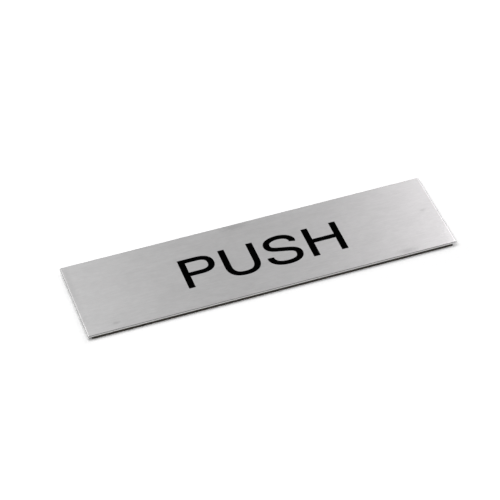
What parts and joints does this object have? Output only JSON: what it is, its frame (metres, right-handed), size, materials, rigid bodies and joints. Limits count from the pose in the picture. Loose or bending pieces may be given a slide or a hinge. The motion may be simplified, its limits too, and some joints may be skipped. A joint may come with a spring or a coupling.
{
  "type": "door push plate",
  "caption": "Flat rectangular sheet metal door plate with a brushed face and rounded edges, held up off the door on foam mounting tape along its long sides.",
  "frame": {"origin": "under the middle of the plate, in the plane of the tape's adhesive faces", "axes": "+X along the plate to the reader's right, +Y across it towards its upper edge, +Z out of the brushed face"},
  "size_m": [0.17, 0.05, 0.0022],
  "materials": {
    "brushed_sheet": "fine straight grain along the plate",
    "foam_tape": "matt closed-cell foam",
    "black_fill": "satin black paint"
  },
  "bodies": {
    "root": {"face_plate": "brushed_sheet", "upper_tape": "foam_tape", "lower_tape": "foam_tape"}
  },
  "joints": []
}
